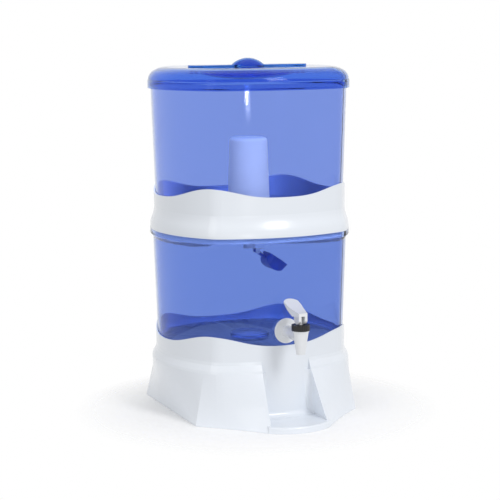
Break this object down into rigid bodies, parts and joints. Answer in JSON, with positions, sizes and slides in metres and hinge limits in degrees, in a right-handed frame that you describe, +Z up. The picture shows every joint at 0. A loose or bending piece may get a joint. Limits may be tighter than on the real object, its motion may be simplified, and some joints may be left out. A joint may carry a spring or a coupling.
{
  "type": "gravity water filter with tap",
  "caption": "Free-standing gravity water filter: clear blue upper and lower tanks, white wavy collar and stand, candle filter, float valve, lever tap and lidded top.",
  "frame": {"origin": "centre of the footprint, on the floor", "axes": "+Z up, -Y towards the tap and the glass bay, +X to the right seen from the front"},
  "size_m": [0.318, 0.372, 0.5645],
  "materials": {
    "white_plastic": "glossy white moulded plastic",
    "clear_blue_plastic": "clear blue moulded plastic",
    "deep_blue_plastic": "glossy blue plastic",
    "black_plastic": "satin black plastic",
    "white_inner_plastic": "satin white plastic",
    "ceramic": "matte white ceramic",
    "carbon": "matte black pressed carbon",
    "seal_rubber": "matte white rubber",
    "silicone": "matte translucent silicone",
    "steel": "bright stainless steel"
  },
  "bodies": {
    "stand": {"base_stand": "white_plastic"},
    "lower": {"lower_tank": "clear_blue_plastic", "tap_body": "white_plastic", "tap_outer_washer": "seal_rubber", "tap_inner_washer": "seal_rubber", "tap_lock_nut": "black_plastic", "tap_bonnet_ring": "black_plastic", "tap_spring": "steel"},
    "stem": {"tap_stem": "white_inner_plastic", "tap_seat_cup": "silicone"},
    "lever": {"tap_lever": "white_plastic", "tap_lever_pin": "steel"},
    "collar": {"collar_band": "white_plastic"},
    "upper": {"upper_tank": "clear_blue_plastic", "filter_candle": "ceramic", "filter_carbon_core": "carbon", "filter_base": "white_inner_plastic", "filter_gasket": "seal_rubber", "filter_washer": "seal_rubber", "filter_wing_nut": "white_inner_plastic", "float_valve_body": "white_inner_plastic", "float_hinge_pin": "steel"},
    "float": {"float_bowl": "deep_blue_plastic", "float_cap": "deep_blue_plastic", "float_seal_pad": "seal_rubber"},
    "lid": {"lid": "clear_blue_plastic", "lid_handle": "deep_blue_plastic"}
  },
  "joints": [
    {"name": "lower_tank_lift", "type": "slide", "parent": "stand", "child": "lower", "axis": [0, 0, 1], "range_m": [0, 0.06]},
    {"name": "collar_lift", "type": "slide", "parent": "lower", "child": "collar", "axis": [0, 0, 1], "range_m": [0, 0.06]},
    {"name": "upper_tank_lift", "type": "slide", "parent": "collar", "child": "upper", "axis": [0, 0, 1], "range_m": [0, 0.1]},
    {"name": "lid_lift", "type": "slide", "parent": "upper", "child": "lid", "axis": [0, 0, 1], "range_m": [0, 0.06]},
    {"name": "stem_slide", "type": "slide", "parent": "lower", "child": "stem", "axis": [0, 0, 1], "range_m": [0, 0.003], "deforming": ["tap_spring"]},
    {"name": "lever_hinge", "type": "hinge", "parent": "stem", "child": "lever", "pos_m": [0, -0.16975, 0.1742], "axis": [1, 0, 0], "range_deg": [0, 38], "stiffness_Nm_per_rad": 0.3, "springref_deg": -5.73},
    {"name": "float_hinge", "type": "hinge", "parent": "upper", "child": "float", "pos_m": [0.013, 0.031, 0.2515], "axis": [0, 1, 0], "range_deg": [-34, 0]}
  ],
  "couplings": [
    {"joint": "stem_slide", "follows": "lever_hinge", "m_per_rad": 0.004523}
  ]
}
